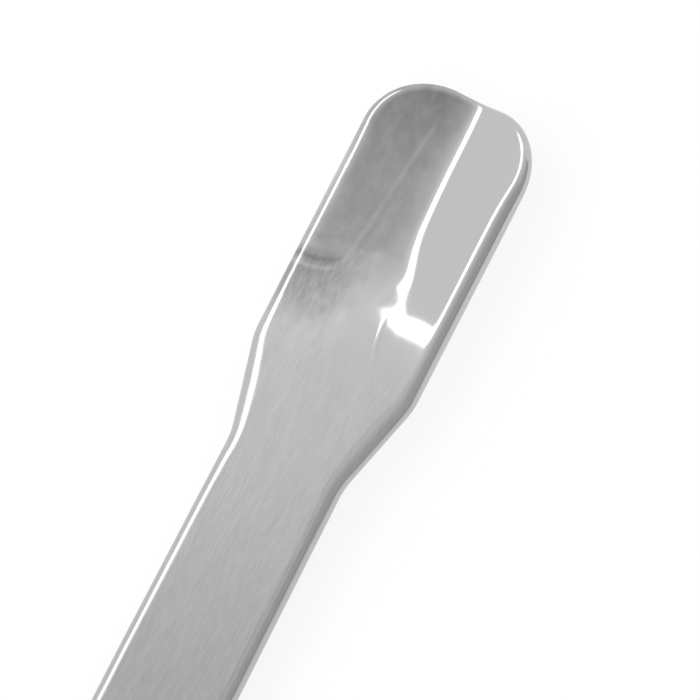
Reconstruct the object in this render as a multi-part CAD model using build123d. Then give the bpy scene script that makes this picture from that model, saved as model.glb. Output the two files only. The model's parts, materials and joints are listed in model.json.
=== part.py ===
from build123d import *
import math
import os

# Lab spatula: one strip of stainless steel, blanked to its outline, with one end
# pressed into a shallow V trough. Millimetres. While it is being shaped, the strip
# lies in the XY plane with its middle plane at z = 0, the far end of the handle at
# y = 0 and the tip of the trough at y = overall_length. At the end it is laid down
# as it comes to rest: +Y towards the trough, +Z up, and the origin at the bottom
# centre of its bounding box.

# Driving dimensions of the outline
overall_length = 150.0      # far end of the handle to the tip of the trough
handle_width = 8.0          # parallel part of the handle
neck_width = 7.8            # narrowest place, where the taper meets the handle
neck_flare_length = 14.0    # from the neck to where the handle has its full width
head_width = 11.0           # across the trough, seen from above
head_length = 18.1          # tip to the shoulders
taper_length = 5.9          # shoulders to the neck
tip_corner_radius = 4.0     # the two corners of the tip
shoulder_radius = 4.5       # outside curve at each shoulder
neck_radius = 5.0           # inside curve at the neck
flare_radius = 60.0         # the faint curve where the flare ends
end_corner_radius = 1.5     # the two corners of the far end

# Driving dimensions of the section and of the trough
strip_thickness = 1.4
edge_flat = 0.06            # what is left flat between the two rounded edges
wing_angle = 24.0           # tilt of each wing of the trough, in degrees
trough_length = 11.0        # tip to the start of the ramp
ramp_length = 5.6           # from the full trough up to the flat strip
crease_width_tip = 1.0      # width of the rounded crease at the tip
crease_width_ramp = 2.6     # the same, where the ramp starts
crease_width_flat = 8.0     # the same, where the ramp has run out

# How far the working shapes run past what they cut, how much flat strip the pressed
# end takes with it, and how finely the pressed surfaces are worked out
overlap = 1.0
flat_past_ramp = 0.4
grid_across = 60
grid_along = 48

half_thickness = strip_thickness / 2
edge_radius = (strip_thickness - edge_flat) / 2
half_head = head_width / 2
rim_centre = half_head - half_thickness
wing_slope = math.tan(math.radians(wing_angle))
pressed_length = trough_length + ramp_length
seam_y = overall_length - pressed_length - flat_past_ramp


def ease(share):
    """Rise from 0 to 1 that starts and ends level and without a break in curvature."""
    share = min(max(share, 0.0), 1.0)
    return share ** 3 * (10.0 - 15.0 * share + 6.0 * share ** 2)


def wing_slope_at(from_tip):
    """Slope of the wings: full along the trough, run out to none along the ramp."""
    return wing_slope * (1.0 - ease((from_tip - trough_length) / ramp_length))


def crease_width_at(from_tip):
    """Width of the rounded crease, which widens steadily, then faster on the ramp."""
    along_trough = min(max(from_tip, 0.0), trough_length) / trough_length
    widened = crease_width_tip + (crease_width_ramp - crease_width_tip) * along_trough
    on_ramp = ease((from_tip - trough_length) / ramp_length)
    return widened + (crease_width_flat - crease_width_ramp) * on_ramp


def skin_height(x, from_tip, side):
    """Height of the upper (side 1) or lower (side -1) skin of the pressed strip.

    Each wing is a plane that keeps its rim in the middle plane of the handle. The
    crease between the wings is a parabola that is tangent to both. The lower skin
    is the upper one moved by the strip's thickness, so its crease is rounder.
    """
    slope = wing_slope_at(from_tip)
    half_crease = crease_width_at(from_tip) / 2
    if side < 0:
        half_crease += strip_thickness * slope
    across = abs(x)
    if across < half_crease:
        across = x * x / (2 * half_crease) + half_crease / 2
    lean = math.sqrt(1.0 + slope ** 2)
    return (across - rim_centre) * slope + side * half_thickness * lean


def pressed_skin(side):
    """One skin of the head as a smooth face, from past the tip to the seam."""
    reach = half_head + overlap
    rows = []
    length = overlap + pressed_length + flat_past_ramp
    for row in range(grid_along + 1):
        from_tip = length * row / grid_along - overlap
        points = []
        for column in range(grid_across + 1):
            x = reach * (2 * column / grid_across - 1)
            points.append(Vector(x, overall_length - from_tip, skin_height(x, from_tip, side)))
        rows.append(points)
    return Face.make_surface_from_array_of_points(rows, tol=0.002, min_deg=3, max_deg=5)


def pressed_sheet():
    """The head before it is trimmed: two skins closed by four ruled sides."""
    upper = pressed_skin(1)
    lower = pressed_skin(-1)
    sides = []
    for direction in (Axis.X, Axis.Y):
        for end in (0, -1):
            upper_edge = upper.edges().sort_by(direction)[end]
            lower_edge = lower.edges().sort_by(direction)[end]
            sides.append(Face.make_surface_from_curves(upper_edge, lower_edge))
    return Solid(Shell([upper, lower] + sides))


def flat_strip():
    """The unpressed rest of the strip, from the far end to the seam."""
    width = 2 * (half_head + overlap)
    return Pos(0, seam_y / 2, 0) * Box(width, seam_y, strip_thickness)


def outline():
    """Plan of the blank: handle, neck, taper, shoulders and round-cornered tip."""
    shoulder_y = overall_length - head_length
    neck_y = shoulder_y - taper_length
    right_side = [
        (half_head, overall_length, tip_corner_radius),
        (half_head, shoulder_y, shoulder_radius),
        (neck_width / 2, neck_y, neck_radius),
        (handle_width / 2, neck_y - neck_flare_length, flare_radius),
        (handle_width / 2, 0.0, end_corner_radius),
    ]
    left_side = [(-x, y, radius) for x, y, radius in reversed(right_side)]
    corners = right_side + left_side
    points = [(x, y) for x, y, radius in corners]
    radii = [radius for x, y, radius in corners]
    return make_face(FilletPolyline(*points, radius=radii, close=True))


def rim_edges(body):
    """Edges between the upright cut side of the strip and its upper or lower skin."""
    cut_sides = body.faces().filter_by(lambda face: abs(face.normal_at().Z) < 0.1)
    cut_edges = cut_sides.edges()
    upright = cut_edges.filter_by(Axis.Z)
    return [edge for edge in cut_edges if edge not in upright]


def rest_tilt():
    """Angle, in degrees, that lays the crease and the far end on one level."""
    wing_lean = math.sqrt(1.0 + wing_slope ** 2)
    lower_crease = crease_width_ramp / 2 + strip_thickness * wing_slope
    crease_bottom = (lower_crease / 2 - rim_centre) * wing_slope - half_thickness * wing_lean
    drop = -half_thickness - crease_bottom
    span = overall_length - trough_length - edge_radius
    return math.degrees(math.atan2(drop, span))


def lab_spatula():
    """The whole spatula, pressed, trimmed, edge-rounded and laid down at rest."""
    blank_height = 4 * head_width
    blank = extrude(outline(), amount=blank_height / 2, both=True)
    trimmed = (pressed_sheet() + flat_strip()) & blank
    body = trimmed.solids()[0]
    rounded = body.fillet(edge_radius, rim_edges(body))
    laid = Rot(X=rest_tilt()) * rounded
    box = laid.bounding_box()
    return Pos(0, -box.center().Y, -box.min.Z) * laid


spatula = lab_spatula()
spatula.label = "spatula"
spatula.color = Color(0.74, 0.74, 0.75)
print("rest tilt in degrees:", round(rest_tilt(), 4))
print("volume in cubic millimetres:", round(spatula.volume, 2))

os.makedirs("parts", exist_ok=True)
export_step(spatula, "parts/spatula.step")
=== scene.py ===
# %% [markdown]
# A lab spatula is one strip of stainless steel. One end is pressed into a shallow
# V trough that scoops powder, and the rest is a flat handle with rounded edges.
# This file dresses the fixed model of it: it loads that model, measures it, makes a
# finer surface of the same strip, gives the steel its finish, and sets up a camera,
# a floor and soft studio light. Everything is in metres, in the frame of the model.

import json
import math

import bpy
import numpy as np
from mathutils import Matrix, Vector


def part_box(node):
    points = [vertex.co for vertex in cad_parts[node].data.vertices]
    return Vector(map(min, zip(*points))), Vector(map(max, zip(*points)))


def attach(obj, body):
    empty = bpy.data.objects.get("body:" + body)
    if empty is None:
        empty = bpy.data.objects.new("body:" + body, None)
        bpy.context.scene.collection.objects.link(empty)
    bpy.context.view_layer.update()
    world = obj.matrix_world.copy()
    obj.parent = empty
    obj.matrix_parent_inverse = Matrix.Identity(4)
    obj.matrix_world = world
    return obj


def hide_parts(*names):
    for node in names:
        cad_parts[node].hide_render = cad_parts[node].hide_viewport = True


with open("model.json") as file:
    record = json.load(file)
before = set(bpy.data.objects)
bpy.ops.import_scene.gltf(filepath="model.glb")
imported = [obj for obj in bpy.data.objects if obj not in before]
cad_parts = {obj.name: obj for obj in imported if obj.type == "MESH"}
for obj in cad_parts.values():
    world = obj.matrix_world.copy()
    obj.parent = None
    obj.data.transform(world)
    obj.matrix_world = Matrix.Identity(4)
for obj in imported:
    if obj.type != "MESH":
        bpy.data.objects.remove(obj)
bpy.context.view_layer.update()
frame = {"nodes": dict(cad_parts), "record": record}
MM = 0.001

# %% [markdown]
# The spatula lies as it comes to rest: the crease of the trough is lower than the
# handle, so the whole strip leans by a little under a degree. The model's record
# says where the two flat faces of the handle are and which way they look. Those two
# faces are enough to work out the strip's own frame: its thickness, its lean, and
# the place of its middle plane. All shapes below are made flat in that frame,
# measured from the tip of the trough, and are then laid down by one matrix.

# %% Read the strip's own frame from the mounts
mounts = {mount["name"]: mount for mount in frame["record"]["mounts"]}
top_point = np.array(mounts["handle_top"]["pos_m"])
under_point = np.array(mounts["handle_underside"]["pos_m"])
strip_up = np.array(mounts["handle_top"]["axis"])
strip_up = strip_up / np.linalg.norm(strip_up)
thickness = float(np.dot(top_point - under_point, strip_up))
lean = math.atan2(-strip_up[1], strip_up[2])
print("thickness mm:", round(thickness / MM, 3), "lean degrees:", round(math.degrees(lean), 3))

# %% [markdown]
# The outline is straight runs joined by round corners, exactly as a blanking tool
# would cut it. Its widths are read off the model where they can be, so that this
# surface follows when the model changes: the head is as wide as the model's box, and
# the handle as wide as its far half. The other sizes are the strip's own, and each
# is named here once.

# %% Sizes of the strip
low_corner, high_corner = (np.array(corner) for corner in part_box("spatula"))
node_mesh = frame["nodes"]["spatula"].data
node_points = np.empty(3 * len(node_mesh.vertices))
node_mesh.vertices.foreach_get("co", node_points)
node_points = node_points.reshape(-1, 3)
far_half = node_points[node_points[:, 1] < 0.0]
head_half = float(high_corner[0])
handle_half = float(far_half[:, 0].max())
strip_length = float(high_corner[1] - low_corner[1]) / math.cos(lean)
neck_half = handle_half - 0.1 * MM
head_length = 18.1 * MM
taper_length = 5.9 * MM
flare_length = 14.0 * MM
tip_radius = 4.0 * MM
shoulder_radius = 4.5 * MM
neck_radius = 5.0 * MM
flare_radius = 60.0 * MM
end_radius = 1.5 * MM
trough_length = 10.2 * MM
ramp_length = 6.0 * MM
wing_slope = math.tan(math.radians(24.0))
round_radius = thickness / 2
rim_centre = head_half - round_radius
print("head", head_half * 2 / MM, "handle", handle_half * 2 / MM, "length", strip_length / MM)

# %% [markdown]
# Half of the outline is enough, because the strip is the same on both sides. A Bevel
# modifier could round its corners, but a formula also gives the outward direction at
# every point, and the rounded edge below is swept along this line and has to know
# which way is out. So each corner becomes an arc, tangent to the runs beside it.

# %% Half outline with round corners
def rounded_path(corners, radii, spacing, arc_steps):
    """Points and outward directions along a path with its corners rounded.

    Corners are (across, from the tip). An arc of radius R that turns by an angle A
    leaves each run at R * tan(A / 2) from the corner. The outward direction is the
    direction of travel turned a quarter to the side that is away from the axis.
    """
    corners = np.array(corners, float)
    steps = np.diff(corners, axis=0)
    lengths = np.linalg.norm(steps, axis=1)
    along = steps / lengths[:, None]
    headings = np.unwrap(np.arctan2(along[:, 1], along[:, 0]))
    turns = np.diff(headings)
    cuts = np.array([radius * math.tan(abs(turn) / 2) for radius, turn in zip(radii, turns)])
    before = np.concatenate([[0.0], cuts])
    after = np.concatenate([cuts, [0.0]])
    points, angles = [], []
    for run in range(len(steps)):
        straight = lengths[run] - before[run] - after[run]
        count = max(1, math.ceil(straight / spacing[run]))
        place = before[run] + straight * np.arange(count + 1) / count
        points.append(corners[run] + place[:, None] * along[run])
        angles.append(np.full(count + 1, headings[run]))
        if run < len(turns):
            share = np.arange(1, arc_steps[run]) / arc_steps[run]
            heading = headings[run] + turns[run] * share
            radius = radii[run] * np.sign(turns[run])
            start = corners[run + 1] - cuts[run] * along[run]
            first_normal = np.array([-math.sin(headings[run]), math.cos(headings[run])])
            centre = start + radius * first_normal
            normals = np.stack([-np.sin(heading), np.cos(heading)], axis=1)
            points.append(centre - radius * normals)
            angles.append(heading)
    points = np.concatenate(points)
    angles = np.concatenate(angles)
    outward = np.stack([np.sin(angles), -np.cos(angles)], axis=1)
    return points, outward

# %% [markdown]
# The runs go from the middle of the tip round one side to the middle of the far end.
# Rows lie close together at the trough, where the surface bends, and far apart on the
# flat handle. The two end runs lie across the strip and need no points of their own.

# %% The spatula's half outline
shoulder = head_length
neck = shoulder + taper_length
flare_end = neck + flare_length
half_corners = [(0.0, 0.0), (head_half, 0.0), (head_half, shoulder), (neck_half, neck),
                (handle_half, flare_end), (handle_half, strip_length), (0.0, strip_length)]
half_radii = [tip_radius, shoulder_radius, neck_radius, flare_radius, end_radius]
undivided = 1.0
run_spacing = [undivided, 0.1 * MM, 0.2 * MM, 0.5 * MM, 3.0 * MM, undivided]
corner_steps = [28, 8, 8, 3, 12]
outline, outward = rounded_path(half_corners, half_radii, run_spacing, corner_steps)
outline, outward = outline[1:-1], outward[1:-1]
print("rows:", len(outline))

# %% [markdown]
# Pressing bends the strip but hardly stretches it, so its shape is one surface, the
# middle of the metal. That surface could be pushed into shape by hand, or bent by a
# modifier. Here its height is a formula of two numbers, the place across the strip
# and the distance from the tip, because a formula is exact and can be read term by
# term. These three small functions are its building blocks.

# %% Building blocks of the height
def ease(share):
    """Smooth step: 10 s^3 - 15 s^4 + 6 s^5 between 0 and 1, level at both ends."""
    share = np.clip(share, 0.0, 1.0)
    return share ** 3 * (10.0 - 15.0 * share + 6.0 * share ** 2)


def bell(x, centre, width, height):
    """height * exp(-((x - centre) / width)^2), a rounded ridge."""
    return height * np.exp(-((x - centre) / width) ** 2)


def folded(x, reach_left, reach_right):
    """|x| with its corner rounded: -x + 2 b s^(a/b + 1) between -a and b, s from 0 to 1.

    The bend starts gently on the left, at -a, and ends quickly on the right, at b.
    """
    share = np.clip((x + reach_left) / (reach_left + reach_right), 0.0, 1.0)
    bent = -x + 2.0 * reach_right * share ** (reach_left / reach_right + 1.0)
    return np.where((x > -reach_left) & (x < reach_right), bent, np.abs(x))


print("ease at a quarter and a half:", ease(0.25), ease(0.5))

# %% [markdown]
# The fold of a hand-pressed trough is not quite straight. It drifts to the right on
# its way from the tip, and it grows wider where it meets the ramp. The press also
# leaves two fine ridges, a long line down the left wing and a short dart at the foot
# of the ramp. They are real relief, not paint, because a ridge catches the light on
# one side only. Every size of the fold, the line and the dart is named here.

# %% Sizes of the fold and of the two ridges
shallower = 0.04
widening_start, widening_length = 7.5 * MM, 6.5 * MM
drift_at_tip, drift_from_widening = -0.20 * MM, 0.65 * MM
drift_slant, drift_end = 0.040, 17.0 * MM
fold_left, fold_left_wider = 1.6 * MM, 1.3 * MM
fold_right, fold_right_deeper, fold_right_wider = 0.80 * MM, 0.35 * MM, 0.9 * MM
line_across, line_place, line_slant = -1.9 * MM, 4.0 * MM, -0.09
line_start, line_rise = 1.5 * MM, 3.0 * MM
line_width, line_height = 0.13 * MM, 0.018 * MM
dart_across, dart_place, dart_slant = 1.0 * MM, 12.4 * MM, 0.27
dart_start, dart_rise = 13.4 * MM, 1.8 * MM
dart_end, dart_fall = 17.8 * MM, 3.0 * MM
dart_width, dart_height = 0.10 * MM, 0.013 * MM
print("depth of the trough mm:", round(rim_centre * wing_slope / MM, 3))

# %% [markdown]
# Now the parts come together: two tilted planes, the rounded fold between them, and a
# ramp at the end of the trough where the tilt runs out. The drift fades to nothing at
# the rims, so the rims stay level.

# %% Height of the middle surface
def middle_height(x, from_tip):
    """(folded x - rim) * slope, plus the line and the dart as bell-shaped ridges.

    The slope falls a little along the trough and eases to nothing on the ramp. The
    drift fades as 1 - q^2, where q is the place across the wing from 0 to 1.
    """
    on_ramp = ease((from_tip - trough_length) / ramp_length)
    along = np.clip(from_tip, 0.0, trough_length) / trough_length
    slope = wing_slope * (1.0 - shallower * along) * (1.0 - on_ramp)
    widening = ease((from_tip - widening_start) / widening_length)
    drift = drift_at_tip + drift_from_widening * widening
    drift = drift + drift_slant * np.clip(from_tip, 0.0, drift_end)
    moved = x - drift * (1.0 - np.clip(x / rim_centre, -1.0, 1.0) ** 2)
    reach_left = fold_left + fold_left_wider * widening
    reach_right = fold_right + fold_right_deeper * along + fold_right_wider * widening
    across = folded(moved, reach_left, reach_right)
    line_x = line_across + line_slant * (from_tip - line_place)
    on_line = ease((from_tip - line_start) / line_rise) * (1.0 - on_ramp)
    line = on_line * bell(x, line_x, line_width, line_height)
    dart_x = dart_across + dart_slant * (from_tip - dart_place)
    on_dart = ease((from_tip - dart_start) / dart_rise) * ease((dart_end - from_tip) / dart_fall)
    dart = on_dart * bell(x, dart_x, dart_width, dart_height)
    return (across - rim_centre) * slope + line + dart


def surface_normal(x, from_tip, step=2e-6):
    """Upward unit normal of the middle surface, from central differences."""
    rise_x = middle_height(x + step, from_tip) - middle_height(x - step, from_tip)
    rise_t = middle_height(x, from_tip + step) - middle_height(x, from_tip - step)
    normal = np.stack([-rise_x / (2 * step), rise_t / (2 * step), np.ones_like(x)], axis=-1)
    return normal / np.linalg.norm(normal, axis=-1, keepdims=True)


print("slope of a wing in degrees:", round(math.degrees(math.atan(wing_slope)), 2))

# %% [markdown]
# A blanked and ground strip is not equally thick all over. The tip is ground thinner,
# so that it slides under powder, and the edge is filed rounder at the two shoulders.
# A plain Solidify modifier gives one thickness everywhere, so here both sizes are
# functions of the distance from the tip.

# %% Thickness and rounding of the edge
ground_tip, ground_length = 0.60, 7.0 * MM
filed_more, filed_place, filed_spread = 0.55, 21.0 * MM, 3.6 * MM


def half_thickness(from_tip):
    """Half the thickness of the metal, which eases from the ground tip to full."""
    return round_radius * (ground_tip + (1.0 - ground_tip) * ease(from_tip / ground_length))


def edge_breadth(from_tip):
    """How far in the rounding starts: half the thickness, and more at the shoulders."""
    filed = bell(from_tip, filed_place, filed_spread, filed_more)
    return half_thickness(from_tip) * (1.0 + filed)


print("tip thickness mm:", round(2 * float(half_thickness(0.0)) / MM, 3))

# %% [markdown]
# The strip is one closed mesh of three sheets. The upper and the lower skin share
# one grid: a row for every point of the inner outline, and columns that crowd
# together at the crease, where the surface bends fastest. Each skin is the middle
# surface moved by half the thickness along its own normal.

# %% Grid of the two skins
COLUMNS = 128
crowding = 0.55


def in_strip_frame(x, from_tip, z):
    """Stack to points with +Y towards the tip, which is at y = 0 of the strip."""
    return np.stack([x, -from_tip, z], axis=-1)


inner = outline - edge_breadth(outline[:, 1:]) * outward
share = np.linspace(-1.0, 1.0, COLUMNS + 1)
crowded = (1.0 - crowding) * share + crowding * share ** 3
grid_x = inner[:, :1] * crowded[None, :]
grid_t = np.repeat(inner[:, 1:], COLUMNS + 1, axis=1)
grid_n = surface_normal(grid_x, grid_t)
rows, columns = grid_x.shape
middle = in_strip_frame(grid_x, grid_t, middle_height(grid_x, grid_t))
half = half_thickness(grid_t)[..., None]
upper = middle + half * grid_n
lower = middle - half * grid_n
print("skin grid:", upper.shape[:2])

# %% [markdown]
# The third sheet is the rounded edge: a half ellipse as tall as the metal is thick,
# carried once round the rim. It leans with the wing, so at every point it needs the
# direction that lies in the surface and points out of it. All three sheets share
# their border points, so the mesh has no seam.

# %% Rounded edge
EDGE_STEPS = 12


def border(array):
    """Values round the border of a grid, once: tip row, right, far row, left."""
    return np.concatenate([array[0, :-1], array[:-1, -1], array[-1, :0:-1], array[:0:-1, 0]])


right_out = np.concatenate([outward, np.zeros((rows, 1))], axis=1) * np.array([1.0, -1.0, 1.0])
out_grid = np.zeros((rows, columns, 3))
out_grid[:, -1] = right_out
out_grid[:, 0] = right_out * np.array([-1.0, 1.0, 1.0])
out_grid[0, 1:-1] = (0.0, 1.0, 0.0)
out_grid[-1, 1:-1] = (0.0, -1.0, 0.0)
rim_middle = border(middle)
rim_normal = border(grid_n)
rim_out = border(out_grid)
rim_along = np.stack([-rim_out[:, 1], rim_out[:, 0], np.zeros(len(rim_out))], axis=1)
rim_along[:, 2] = -(rim_along[:, :2] * rim_normal[:, :2]).sum(axis=1) / rim_normal[:, 2]
rim_side = np.cross(rim_along, rim_normal)
rim_side /= np.linalg.norm(rim_side, axis=1, keepdims=True)
rim_side *= np.sign((rim_side * rim_out).sum(axis=1, keepdims=True))
turn = np.pi / 2 - np.pi * np.arange(1, EDGE_STEPS) / EDGE_STEPS
rim_tall = half_thickness(-rim_middle[:, 1:2])
rim_broad = border(np.repeat(edge_breadth(outline[:, 1:]), columns, axis=1))[:, None]
edge = (rim_middle[None] + np.sin(turn)[:, None, None] * (rim_tall * rim_normal)[None]
        + np.cos(turn)[:, None, None] * (rim_broad * rim_side)[None])
print("edge rings:", edge.shape[:2])

# %% [markdown]
# The three sheets become one mesh. Each quad lists its corners so that its face looks
# outwards: the lower skin and the rounded edge are wound the other way round from the
# upper skin. Light and export both depend on this, and a closed mesh has no holes.

# %% Join the three sheets
def grid_faces(index):
    """Quads of a grid of point numbers, in the order that makes them face up."""
    a, b = index[:-1, :-1], index[:-1, 1:]
    c, d = index[1:, 1:], index[1:, :-1]
    return np.stack([a, d, c, b], axis=-1).reshape(-1, 4)


grid_count = rows * columns
upper_index = np.arange(grid_count).reshape(rows, columns)
lower_index = upper_index + grid_count
ring_count = len(rim_middle)
edge_index = 2 * grid_count + np.arange((EDGE_STEPS - 1) * ring_count).reshape(-1, ring_count)
rings = np.concatenate([border(upper_index)[None], edge_index, border(lower_index)[None]])
rings = np.concatenate([rings, rings[:, :1]], axis=1)
faces = np.concatenate([grid_faces(upper_index), grid_faces(lower_index)[:, ::-1],
                        grid_faces(rings)[:, ::-1]])
points = np.concatenate([upper.reshape(-1, 3), lower.reshape(-1, 3), edge.reshape(-1, 3)])
print("points:", len(points), "quads:", len(faces))

# %% [markdown]
# A real spatula put on a bench rocks until it stands on its crease and on the far end.
# One turn about the X axis by the lean does the same here, and one shift brings the
# tip and the lowest point to where the model has them. The numbers are written into
# the mesh, so the object itself stays at the origin, unturned and unscaled. An
# attribute marks the two skins with 1 and the rounded edge with 0, for the material.

# %% Lay the strip down and make the mesh
laid = Matrix.Rotation(lean, 4, "X")
turned = points @ np.array(laid.to_3x3()).T
shift_y = high_corner[1] - turned[:, 1].max()
shift_z = low_corner[2] - turned[:, 2].min()
turned += np.array([0.0, shift_y, shift_z])

steel_mesh = bpy.data.meshes.new("spatula_surface")
steel_mesh.from_pydata(turned.tolist(), [], faces.tolist())
steel_mesh.polygons.foreach_set("use_smooth", np.ones(len(faces), bool))
on_face = np.ones(len(turned))
on_face[2 * grid_count:] = 0.0
steel_mesh.attributes.new("on_face", "FLOAT", "POINT").data.foreach_set("value", on_face)
steel_mesh.update()
spatula = bpy.data.objects.new("spatula_surface", steel_mesh)
bpy.context.scene.collection.objects.link(spatula)
print("triangles:", 2 * len(faces), "valid:", not steel_mesh.validate())

# %% [markdown]
# The new surface is told what it belongs to. It rides on the only body, it is shown in
# place of the model's one node, and it wears the material slot named "steel".

# %% Body, node and slot
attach(spatula, "root")
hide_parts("spatula")
print("piece:", spatula.name)

# %% [markdown]
# Stainless steel has hardly any colour, so its look is in how it was worked, and below
# also in some painted shade and painted reflections. A picture of steel could be wrapped
# round the strip, but it would blur close by and its shine would be fixed. Nodes stay sharp
# and answer to the light. Every pattern below reads the place on the object in metres, so the grain
# keeps its true size.

# %% Helpers for material nodes
steel = bpy.data.materials.new("steel")
steel.use_nodes = True
tree = steel.node_tree
shader = tree.nodes["Principled BSDF"]
place_node = tree.nodes.new("ShaderNodeTexCoord")
parts = tree.nodes.new("ShaderNodeSeparateXYZ")
tree.links.new(place_node.outputs["Object"], parts.inputs["Vector"])


def worked(node_tree, operation, first, second):
    """One maths node. Each input is a socket or a number."""
    node = node_tree.nodes.new("ShaderNodeMath")
    node.operation = operation
    for socket, value in zip(node.inputs, (first, second)):
        if isinstance(value, (int, float)):
            socket.default_value = value
        else:
            node_tree.links.new(value, socket)
    return node.outputs["Value"]


def plus(first, second):
    """Sum of two values of the steel."""
    return worked(tree, "ADD", first, second)


def minus(first, second):
    """The first value of the steel less the second."""
    return worked(tree, "SUBTRACT", first, second)


def times(first, second):
    """Product of two values of the steel."""
    return worked(tree, "MULTIPLY", first, second)


def fitted(value, low, high, out_low=0.0, out_high=1.0):
    """Map a value smoothly from one range to another, and hold it there."""
    node = tree.nodes.new("ShaderNodeMapRange")
    node.interpolation_type = "SMOOTHSTEP"
    tree.links.new(value, node.inputs["Value"])
    limits = (("From Min", low), ("From Max", high), ("To Min", out_low), ("To Max", out_high))
    for name, number in limits:
        node.inputs[name].default_value = number
    return node.outputs["Result"]


def past(start, end, before=0.0, after=1.0):
    """Fade from one value to another between two distances from the tip, in metres."""
    return fitted(parts.outputs["Y"], tip_y - start, tip_y - end, before, after)


def stretched_noise(per_metre, detail, rough, turn_z=0.0):
    """Noise whose grain is set by cells per metre along X, Y and Z."""
    mapping = tree.nodes.new("ShaderNodeMapping")
    mapping.inputs["Scale"].default_value = per_metre
    mapping.inputs["Rotation"].default_value = (0.0, 0.0, turn_z)
    noise = tree.nodes.new("ShaderNodeTexNoise")
    noise.inputs["Scale"].default_value = 1.0
    noise.inputs["Detail"].default_value = detail
    noise.inputs["Roughness"].default_value = rough
    tree.links.new(place_node.outputs["Object"], mapping.inputs["Vector"])
    tree.links.new(mapping.outputs["Vector"], noise.inputs["Vector"])
    return noise.outputs["Fac"]


tip_y = float(high_corner[1])
print("tip at y mm:", round(tip_y / MM, 3))

# %% [markdown]
# First come masks, values from 0 to 1 that say where a finish or a painted shade lies: the
# handle and its far part, the tip, the left wing, the left wing of the trough alone, and the
# flat skins as against the rounded edge. Separate materials would need a sharp border
# between them, and a mask fades from one finish to the next.

# %% Where each finish and painted shade lies
handle_part = past(15.0 * MM, 19.0 * MM)
far_shade_part = past(19.0 * MM, 42.0 * MM)
tip_shade_part = past(7.0 * MM, 1.0 * MM)
left_part = fitted(parts.outputs["X"], 0.1 * MM, -1.0 * MM)
trough_left = times(left_part, minus(1.0, handle_part))
face_read = tree.nodes.new("ShaderNodeAttribute")
face_read.attribute_name = "on_face"
edge_shade_share = 0.25
shade_on_face = fitted(face_read.outputs["Fac"], 0.0, 1.0, edge_shade_share, 1.0)
print("nodes for the masks:", len(tree.nodes))

# %% [markdown]
# Then the grain. The handle is brushed along its length, which leaves fine streaks a
# few degrees off the axis: noise with ten times more cells across than along. A
# broader noise varies the shine, and a mottled one stands for the clouds that the
# press leaves in the trough.

# %% Grain
brush_angle = math.radians(6.0)
brushed = stretched_noise((9000.0, 900.0, 9000.0), 4.0, 0.6, brush_angle)
broad = stretched_noise((1800.0, 260.0, 1800.0), 3.0, 0.5)
mottled = stretched_noise((1500.0, 750.0, 1500.0), 5.0, 0.62)
noise_middle = 0.5
print("nodes with the grain:", len(tree.nodes))

# %% [markdown]
# All patterns are added up to one tone near 1, which later multiplies the colour of the
# steel. The large areas come first: the handle is painted darker than the trough, more so
# towards its far end, and the left of the tip is painted darker; all three are painted shade.
# Streaks and clouds go on top.

# %% Painted shade of the large areas, with streaks and clouds
# Painted shade: the handle and its far end are painted darker than the trough.
far_painted_shade, handle_painted_shade = 0.20, 0.14
# Painted shade: the left of the tip is painted darker.
tip_painted_shade = 0.25
streak_depth, streaks_in_trough = 0.22, 0.15
cloud_depth = 0.50
handle_shade_paint = plus(times(far_shade_part, far_painted_shade), times(handle_part, handle_painted_shade))
tone = minus(1.0, times(handle_shade_paint, shade_on_face))
tone = minus(tone, times(times(tip_shade_part, left_part), tip_painted_shade))
streaks = times(minus(brushed, noise_middle), streak_depth)
tone = plus(tone, times(streaks, fitted(handle_part, 0.0, 1.0, streaks_in_trough, 1.0)))
clouds = times(minus(mottled, noise_middle), times(trough_left, cloud_depth))
tone = plus(tone, clouds)
print("nodes with the large areas:", len(tree.nodes))

# %% [markdown]
# Between the pressed line and the crease the wing is painted a little lighter, as a
# painted reflection. Lower down, where the left wing turns into the ramp, it is painted
# darker in a mottled patch, as painted shade.

# %% Painted reflection beside the line and painted shade at the ramp
# Painted reflection: the wing between the line and the crease is painted lighter.
line_painted_reflection = 0.07
line_mask_start, line_mask_full = -0.12 * MM, 0.05 * MM
# Painted shade: the left wing is painted darker where it turns into the ramp, mottled by the grain.
ramp_shade_least, ramp_shade_most = 0.20, 0.34
line_offset = -line_across - line_slant * (tip_y - line_place)
from_line = plus(parts.outputs["X"], times(parts.outputs["Y"], line_slant))
inside_line = fitted(plus(from_line, line_offset), line_mask_start, line_mask_full)
tone = plus(tone, times(times(inside_line, trough_left), line_painted_reflection))
ramp_in = past(11.0 * MM, 12.8 * MM)
ramp_out = past(14.8 * MM, 17.0 * MM, 1.0, 0.0)
ramp_left = fitted(parts.outputs["X"], -0.2 * MM, -2.6 * MM)
ramp_shade_depth = fitted(brushed, 0.35, 0.65, ramp_shade_least, ramp_shade_most)
ramp_painted_shade = times(times(times(ramp_in, ramp_out), ramp_left), ramp_shade_depth)
tone = minus(tone, ramp_painted_shade)
print("nodes with the rubbed area:", len(tree.nodes))

# %% [markdown]
# A few faint rings are painted on the left wing where it turns into the ramp, as painted
# reflections. Each is a band of the distance from one centre: it rises to its radius, falls
# again just outside it, and shows only on the ramp's side of the centre. A negative depth
# makes a pale ring, a painted highlight, and a positive one a dark ring, painted shade.

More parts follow.
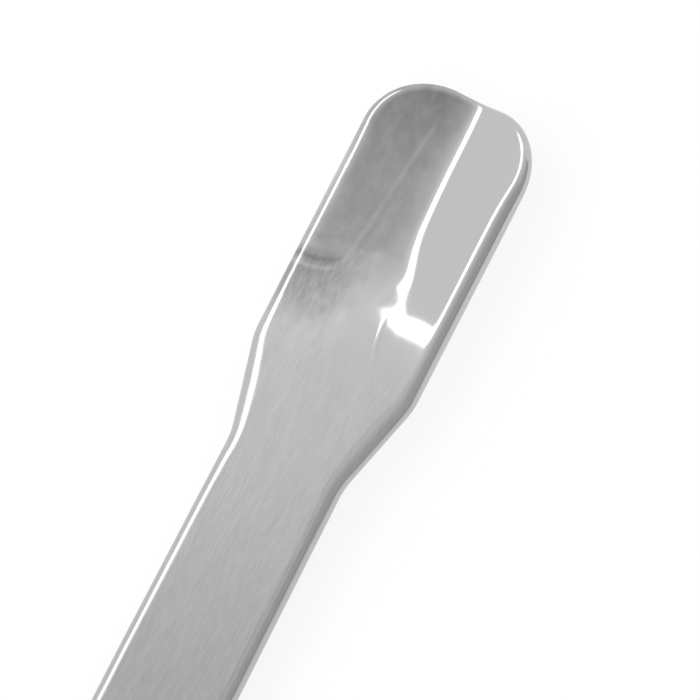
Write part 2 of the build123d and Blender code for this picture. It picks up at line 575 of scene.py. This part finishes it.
# %% Painted reflection rings
# Painted reflections: rings of positive depth are painted shade, of negative depth painted highlights.
ring_centre = (-4.9 * MM, tip_y - 9.6 * MM, 2.0 * MM)
ring_rise, ring_fall = 0.30 * MM, 0.22 * MM
painted_ring_reflections = ((2.1 * MM, 0.10), (2.7 * MM, -0.08), (3.35 * MM, 0.17), (3.85 * MM, -0.20))
from_centre = tree.nodes.new("ShaderNodeVectorMath")
from_centre.operation = "DISTANCE"
from_centre.inputs[1].default_value = ring_centre
tree.links.new(place_node.outputs["Object"], from_centre.inputs[0])
ring_distance = from_centre.outputs["Value"]
ring_part = times(past(9.8 * MM, 11.6 * MM), minus(1.0, inside_line))
for radius, depth in painted_ring_reflections:
    rise = fitted(ring_distance, radius - ring_rise, radius, 0.0, depth)
    fall = fitted(ring_distance, radius, radius + ring_fall, 1.0, 0.0)
    tone = minus(tone, times(times(rise, fall), ring_part))
print("rings:", len(painted_ring_reflections))

# %% [markdown]
# The tone multiplies the colour of the steel. Brushed metal spreads a reflection more
# than polished metal, so the handle is rougher than the trough. The bump is a few
# thousandths of a millimetre high. It could be real relief like the line and the
# dart, but that would need millions of faces for something the eye sees only as a
# slight break in the reflections.

# %% Steel: colour, roughness and fine relief
steel_colour = (0.525, 0.525, 0.53)
rough_trough, rough_handle, rough_change = 0.13, 0.21, 0.10
relief_strength, relief_height = 0.35, 0.006 * MM
brush_in_trough, mottle_relief = 0.25, 3.0
colour = tree.nodes.new("ShaderNodeVectorMath")
colour.operation = "SCALE"
colour.inputs[0].default_value = steel_colour
tree.links.new(tone, colour.inputs["Scale"])
tree.links.new(colour.outputs["Vector"], shader.inputs["Base Color"])
shader.inputs["Metallic"].default_value = 1.0
rough = plus(fitted(handle_part, 0.0, 1.0, rough_trough, rough_handle),
             times(minus(broad, noise_middle), rough_change))
tree.links.new(rough, shader.inputs["Roughness"])
relief = plus(times(brushed, fitted(handle_part, 0.0, 1.0, brush_in_trough, 1.0)),
              times(mottled, times(trough_left, mottle_relief)))
bump = tree.nodes.new("ShaderNodeBump")
bump.inputs["Strength"].default_value = relief_strength
bump.inputs["Distance"].default_value = relief_height
tree.links.new(relief, bump.inputs["Height"])
tree.links.new(bump.outputs["Normal"], shader.inputs["Normal"])
steel_mesh.materials.append(steel)
print("nodes in the steel:", len(tree.nodes))

# %% [markdown]
# The camera stands well away, which keeps the sides nearly parallel. It looks down at
# the trough from a little to the right, and it is turned so that the strip runs from
# the lower left to the upper right. A constraint could aim it, but it would leave the
# turn about the line of sight open, so its three axes are worked out from the angles.

# %% Camera
aim_right, aim_from_tip = 0.33 * MM, 16.58 * MM
roll_right = math.radians(20.0)
lean_back = math.radians(3.0)
axis_on_screen = math.radians(62.8)
field = 40.9 * MM
distance = 300.0 * MM
sensor = 36.0
nearest_seen = 10.0 * MM
aim_y = high_corner[1] - aim_from_tip
aim_z = top_point[2] - round_radius + (aim_y - top_point[1]) * math.tan(lean)
aim = Vector((aim_right, aim_y, aim_z))
towards = Vector((math.sin(roll_right) * math.cos(lean_back), -math.sin(lean_back),
                  math.cos(roll_right) * math.cos(lean_back)))
strip_along = Vector((0.0, math.cos(lean), math.sin(lean)))
seen_along = (strip_along - strip_along.dot(towards) * towards).normalized()
seen_across = seen_along.cross(towards)
right = math.cos(axis_on_screen) * seen_along + math.sin(axis_on_screen) * seen_across
up = math.sin(axis_on_screen) * seen_along - math.cos(axis_on_screen) * seen_across
place = aim + distance * towards
camera_data = bpy.data.cameras.new("camera")
camera_data.sensor_width = sensor
camera_data.lens = sensor * distance / field
camera_data.clip_start = nearest_seen
camera = bpy.data.objects.new("camera", camera_data)
camera.matrix_world = Matrix((
    (right.x, up.x, towards.x, place.x),
    (right.y, up.y, towards.y, place.y),
    (right.z, up.z, towards.z, place.z),
    (0.0, 0.0, 0.0, 1.0)))
bpy.context.scene.collection.objects.link(camera)
bpy.context.scene.camera = camera
print("lens mm:", round(camera_data.lens, 1))

# %% [markdown]
# The spatula lies on a plain white floor. To the camera, and to anything mirrored in
# the steel, most of the floor's light is its own, so it looks white without lighting
# the steel too much. The rest is ordinary reflected light, which keeps a faint shadow.

# %% Floor
floor_half = 1.5
floor_tone = 0.95
own_light = 0.88
floor_mesh = bpy.data.meshes.new("floor")
floor_mesh.from_pydata([(-floor_half, -floor_half, 0), (floor_half, -floor_half, 0),
                        (floor_half, floor_half, 0), (-floor_half, floor_half, 0)],
                       [], [(0, 1, 2, 3)])
floor = bpy.data.objects.new("floor", floor_mesh)
bpy.context.scene.collection.objects.link(floor)
floor_paint = bpy.data.materials.new("floor_paint")
floor_paint.use_nodes = True
floor_tree = floor_paint.node_tree
floor_shader = floor_tree.nodes["Principled BSDF"]
floor_shader.inputs["Base Color"].default_value = (floor_tone, floor_tone, floor_tone, 1.0)
floor_shader.inputs["Roughness"].default_value = 1.0
floor_shader.inputs["Specular IOR Level"].default_value = 0.0
white = floor_tree.nodes.new("ShaderNodeEmission")
white.inputs["Color"].default_value = (1.0, 1.0, 1.0, 1.0)
seen = floor_tree.nodes.new("ShaderNodeLightPath").outputs
in_sight = worked(floor_tree, "MAXIMUM", seen["Is Camera Ray"], seen["Is Glossy Ray"])
in_sight = worked(floor_tree, "MAXIMUM", in_sight, seen["Is Transmission Ray"])
blend = floor_tree.nodes.new("ShaderNodeMixShader")
floor_tree.links.new(worked(floor_tree, "MULTIPLY", in_sight, own_light), blend.inputs["Fac"])
floor_tree.links.new(floor_shader.outputs["BSDF"], blend.inputs[1])
floor_tree.links.new(white.outputs["Emission"], blend.inputs[2])
floor_tree.links.new(blend.outputs["Shader"], floor_tree.nodes["Material Output"].inputs["Surface"])
floor_mesh.materials.append(floor_paint)
print("floor:", 2 * floor_half, "m wide")

# %% [markdown]
# Polished metal shows what stands round it, so the light is a set of things to
# reflect. A white sky gives the flat handle and the right wing an even pale grey.

# %% World
world = bpy.data.worlds.new("studio")
world.use_nodes = True
world.node_tree.nodes["Background"].inputs["Color"].default_value = (1.0, 1.0, 1.0, 1.0)
world.node_tree.nodes["Background"].inputs["Strength"].default_value = 1.0
bpy.context.scene.world = world
bpy.context.scene.view_settings.view_transform = "Standard"
print("sky:", world.name)

# %% [markdown]
# One tall lamp on the left draws the bright line along the crease and the edges, and
# the white patch where the trough runs out. A point lamp would make only a dot, since
# metal mirrors the lamp's own shape, so this one is a tall rectangle.

# %% Strip light
def facing(direction_x, direction_y, reach):
    """Matrix of a lamp at an angle from straight up, looking at the camera's aim.

    Its own height runs along the strip, so a tall narrow lamp lies parallel to it.
    """
    tilt_x, tilt_y = math.radians(direction_x), math.radians(direction_y)
    away = Vector((math.sin(tilt_x) * math.cos(tilt_y), math.sin(tilt_y),
                   math.cos(tilt_x) * math.cos(tilt_y)))
    tall = (Vector((0.0, 1.0, 0.0)) - away.y * away).normalized()
    wide = tall.cross(away)
    turn_to = Matrix((wide, tall, away)).transposed().to_4x4()
    return Matrix.Translation(aim + reach * away) @ turn_to


def softbox(name, direction_x, direction_y, reach, width, height, radiance):
    """Rectangular lamp of a given radiance: its power is radiance * area * pi."""
    data = bpy.data.lights.new(name, "AREA")
    data.shape = "RECTANGLE"
    data.size, data.size_y = width, height
    data.energy = radiance * width * height * math.pi
    lamp = bpy.data.objects.new(name, data)
    lamp.matrix_world = facing(direction_x, direction_y, reach)
    bpy.context.scene.collection.objects.link(lamp)
    lamp.visible_camera = False
    print("lamp:", name, "watts:", round(data.energy, 3))


softbox("strip_light", -39.0, 0.0, reach=0.5, width=0.19, height=1.1, radiance=2.0)

# %% [markdown]
# Two graded grey cards, bent round the strip's axis, darken the left wing. Each glows
# by itself, and its level depends only on the angle and on the place along the axis,
# so the tone of the wing follows from the way it tilts. Flat cards lit by a lamp
# would do it too, but then every change of the lamp would change the cards.

# %% Graded cards
BRIGHTEST = 1.3
AROUND_STEPS = 48
ALONG_STEPS = 24


def graded(node_tree, attribute, stops):
    """Level at the place in an attribute, from a list of (place, level).

    A colour ramp runs from 0 to 1 and holds levels up to 1. So places are mapped onto
    0 to 1, and levels are divided by BRIGHTEST, which is multiplied back at the end.
    """
    first, last = stops[0][0], stops[-1][0]
    read = node_tree.nodes.new("ShaderNodeAttribute")
    read.attribute_name = attribute
    fit = node_tree.nodes.new("ShaderNodeMapRange")
    fit.inputs["From Min"].default_value = first
    fit.inputs["From Max"].default_value = last
    ramp = node_tree.nodes.new("ShaderNodeValToRGB")
    elements = ramp.color_ramp.elements
    while len(elements) < len(stops):
        elements.new(0.5)
    for element, (where, level) in zip(elements, stops):
        element.position = (where - first) / (last - first)
        element.color = (level / BRIGHTEST,) * 3 + (1.0,)
    node_tree.links.new(read.outputs["Fac"], fit.inputs["Value"])
    node_tree.links.new(fit.outputs["Result"], ramp.inputs["Fac"])
    return ramp.outputs["Color"]


def graduated_cove(name, reach, tones, bands):
    """Part of a cylinder round the strip's axis, whose glow is a product of two ramps.

    The first ramp runs over the angle from straight up, the second along the axis.
    Both are lists of (place, level), and their ends are the borders of the cove.
    """
    angle = np.radians(np.linspace(tones[0][0], tones[-1][0], AROUND_STEPS + 1))
    level = np.linspace(bands[0][0], bands[-1][0], ALONG_STEPS + 1)
    turn_by, slide = np.meshgrid(angle, level, indexing="ij")
    spots = np.stack([aim.x + reach * np.sin(turn_by), aim.y + slide,
                      aim.z + reach * np.cos(turn_by)], axis=-1).reshape(-1, 3)
    index = np.arange(turn_by.size).reshape(turn_by.shape)
    mesh = bpy.data.meshes.new(name)
    mesh.from_pydata(spots.tolist(), [], grid_faces(index).tolist())
    for attribute, values in (("around", np.degrees(turn_by)), ("along", slide)):
        mesh.attributes.new(attribute, "FLOAT", "POINT").data.foreach_set("value", values.ravel())
    paint = bpy.data.materials.new(name)
    paint.use_nodes = True
    glow_tree = paint.node_tree
    glow_tree.nodes.remove(glow_tree.nodes["Principled BSDF"])
    product = worked(glow_tree, "MULTIPLY", graded(glow_tree, "around", tones),
                     graded(glow_tree, "along", bands))
    strength = worked(glow_tree, "MULTIPLY", product, BRIGHTEST ** 2)
    glow = glow_tree.nodes.new("ShaderNodeEmission")
    glow_tree.links.new(strength, glow.inputs["Strength"])
    glow_tree.links.new(glow.outputs["Emission"], glow_tree.nodes["Material Output"].inputs["Surface"])
    mesh.materials.append(paint)
    piece = bpy.data.objects.new(name, mesh)
    bpy.context.scene.collection.objects.link(piece)
    piece.visible_camera = False
    print("card:", name)


cove_tones = ((-17.0, 1.0), (-11.0, 0.86), (0.0, 0.79), (14.0, 0.69), (28.0, 0.58), (60.0, 0.56),
              (88.0, 0.46))
cove_bands = ((-0.6, 1.05), (0.0, 1.06), (0.03, 1.0), (0.05, 0.92), (0.09, 1.0), (0.6, 1.06))
flag_tones = ((-24.0, 1.0), (-16.0, 0.93), (0.0, 0.84), (28.0, 0.70), (40.0, 0.66))
flag_bands = ((0.13, 1.0), (0.25, 1.04), (0.60, 1.10))
graduated_cove("grey_cove", 0.42, cove_tones, cove_bands)
graduated_cove("overhead_flag", 0.40, flag_tones, flag_bands)
